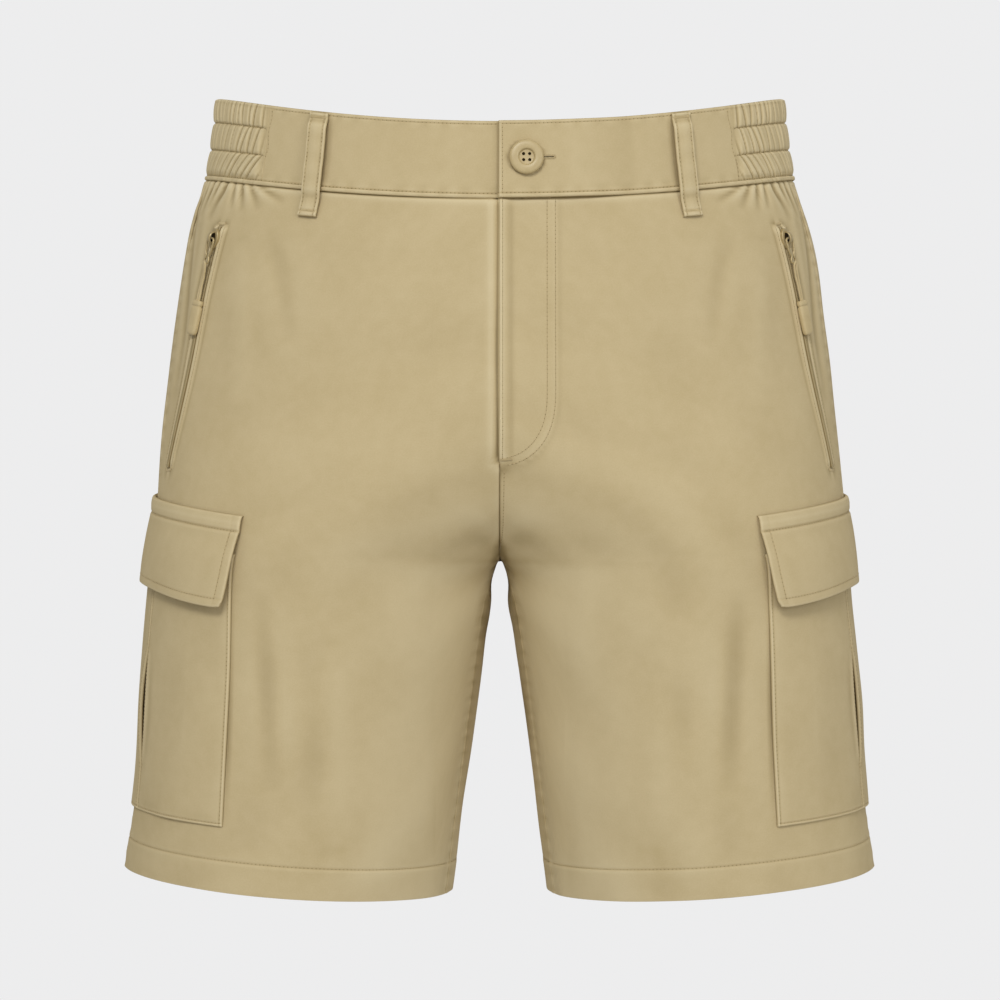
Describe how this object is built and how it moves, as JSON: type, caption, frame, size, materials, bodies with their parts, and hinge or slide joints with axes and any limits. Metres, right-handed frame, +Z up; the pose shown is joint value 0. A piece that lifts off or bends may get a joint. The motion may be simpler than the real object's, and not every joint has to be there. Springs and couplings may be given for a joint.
{
  "type": "cargo shorts",
  "caption": "Knee-length cargo shorts filled out as if worn, with a part elastic waistband, belt loops, zip side pockets and flapped thigh pockets.",
  "frame": {"origin": "middle of the waist opening, at the height of its sides, where the wearer's waist holds the shorts", "axes": "+Z up along the wearer, -Y to the front, +X to the wearer's left"},
  "size_m": [0.462, 0.2564, 0.49],
  "materials": {
    "cloth": "khaki cotton twill, matt, with a faint soft sheen",
    "zip_tape": "khaki woven tape with moulded coil teeth",
    "button": "khaki polyester, satin",
    "zip_metal": "khaki lacquered metal, semi-gloss",
    "zip_pull": "khaki lacquered wire frame, cord and soft moulded grip"
  },
  "bodies": {
    "garment": {"front_left": "cloth", "front_right": "cloth", "back_left": "cloth", "back_right": "cloth", "waistband_front_left": "cloth", "waistband_front_right": "cloth", "waistband_back": "cloth", "waistband_elastic_left": "cloth", "waistband_elastic_right": "cloth", "belt_loop_front_left": "cloth", "belt_loop_front_right": "cloth", "belt_loop_back_left": "cloth", "belt_loop_back_right": "cloth", "belt_loop_back_centre": "cloth", "button": "button", "zip_tape_left": "zip_tape", "zip_tape_right": "zip_tape", "zip_slider_left": "zip_metal", "zip_slider_right": "zip_metal", "cargo_pocket_front_left": "cloth", "cargo_pocket_front_right": "cloth", "cargo_pocket_rear_left": "cloth", "cargo_pocket_rear_right": "cloth", "cargo_flap_left": "cloth", "cargo_flap_right": "cloth"},
    "pull_left": {"zip_pull_left": "zip_pull"},
    "pull_right": {"zip_pull_right": "zip_pull"}
  },
  "joints": [
    {"name": "pull_left_hinge", "type": "hinge", "parent": "garment", "child": "pull_left", "pos_m": [0.17389, -0.05884, -0.09121], "axis": [-0.6431, -0.7386, -0.2021], "range_deg": [0, 140]},
    {"name": "pull_right_hinge", "type": "hinge", "parent": "garment", "child": "pull_right", "pos_m": [-0.17389, -0.05884, -0.09121], "axis": [-0.6431, 0.7386, 0.2021], "range_deg": [0, 140]}
  ]
}
